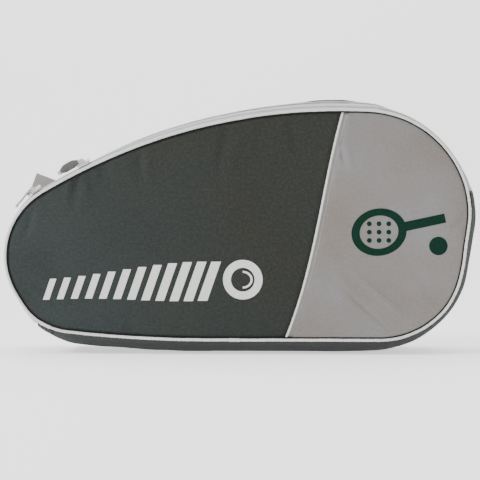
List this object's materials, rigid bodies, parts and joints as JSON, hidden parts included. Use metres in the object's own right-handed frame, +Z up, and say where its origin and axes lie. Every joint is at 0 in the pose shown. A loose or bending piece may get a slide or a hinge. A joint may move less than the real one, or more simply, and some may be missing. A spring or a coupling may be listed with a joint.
{
  "type": "padel racket case",
  "caption": "Soft padded teardrop racket bag with piped seams, a zip round its front, a dark and light front panel, rear backpack straps and a hang loop.",
  "frame": {"origin": "centre of the flat the case stands on, midway between the two seams", "axes": "+X along the case to its wide end, -Y out of the printed front, +Z up"},
  "size_m": [0.5402, 0.1854, 0.2839],
  "materials": {
    "dark_cloth": "woven, matte",
    "light_cloth": "woven, matte",
    "foam": "soft foam between the cloth and the lining",
    "lining": "smooth woven lining",
    "piping": "cloth-covered cord",
    "board": "stiff sheet",
    "coil": "nylon coil",
    "zip_tape": "woven zip tape",
    "binding": "narrow binding",
    "black_tab": "folded cloth tab",
    "zip_metal": "satin enamel",
    "pad_cloth": "padded mesh cloth",
    "webbing": "ribbed webbing",
    "buckle": "moulded"
  },
  "bodies": {
    "shell": {"rear_panel": "dark_cloth", "rear_foam": "foam", "rear_lining": "lining", "rear_piping": "piping", "top_gusset": "dark_cloth", "top_gusset_lining": "lining", "bottom_gusset": "dark_cloth", "bottom_gusset_lining": "lining", "base_board": "board", "zip_coil_rear": "coil", "zip_tape_rear": "zip_tape", "zip_seam_binding": "binding", "zip_end_tab_right": "black_tab", "zip_end_tab_left": "black_tab", "front_lower_dark": "dark_cloth", "front_lower_light": "light_cloth", "divider_piping_lower": "piping", "front_lower_foam": "foam", "front_lower_lining": "lining", "front_piping_lower": "piping", "inner_pocket": "lining", "inner_pocket_binding": "binding", "strap_yoke": "dark_cloth", "strap_pad_upper": "pad_cloth", "strap_pad_lower": "pad_cloth", "strap_webbing_upper": "webbing", "strap_webbing_lower": "webbing", "ladder_lock_upper": "buckle", "ladder_lock_lower": "buckle", "strap_anchor_upper": "webbing", "strap_anchor_lower": "webbing", "hang_loop_patch": "webbing"},
    "flap": {"front_upper_dark": "dark_cloth", "front_upper_light": "light_cloth", "divider_piping_upper": "piping", "front_upper_foam": "foam", "front_upper_lining": "lining", "front_piping_upper": "piping", "zip_tape_front": "zip_tape", "zip_coil_front": "coil"},
    "slider_a": {"zip_slider_a": "zip_metal"},
    "slider_b": {"zip_slider_b": "zip_metal"},
    "puller_a": {"zip_puller_a": "zip_metal"},
    "puller_b": {"zip_puller_b": "zip_metal"},
    "hang_loop": {"hang_loop": "webbing"}
  },
  "joints": [
    {"name": "flap_fold", "type": "hinge", "parent": "shell", "child": "flap", "pos_m": [0.01433, -0.07902, 0.1078], "axis": [0.9585, 0, 0.2853], "range_deg": [0, 115]},
    {"name": "slider_a_travel", "type": "hinge", "parent": "shell", "child": "slider_a", "pos_m": [0.10603, 0, -0.35759], "axis": [0, 1, 0], "range_deg": [0, 27]},
    {"name": "slider_b_travel", "type": "hinge", "parent": "shell", "child": "slider_b", "pos_m": [-0.17643, 0, 0.10958], "axis": [0, -1, 0], "range_deg": [0, 79]},
    {"name": "puller_a_swing", "type": "hinge", "parent": "slider_a", "child": "puller_a", "pos_m": [-0.17421, -0.06, 0.21341], "axis": [0, 1, 0], "range_deg": [0, 135]},
    {"name": "puller_b_swing", "type": "hinge", "parent": "slider_b", "child": "puller_b", "pos_m": [-0.22977, -0.06, 0.18255], "axis": [0, 1, 0], "range_deg": [0, 135]},
    {"name": "hang_loop_swing", "type": "hinge", "parent": "shell", "child": "hang_loop", "pos_m": [-0.14588, 0.0836, 0.20514], "axis": [-0.9127, 0, -0.4086], "range_deg": [-135, 0]}
  ]
}
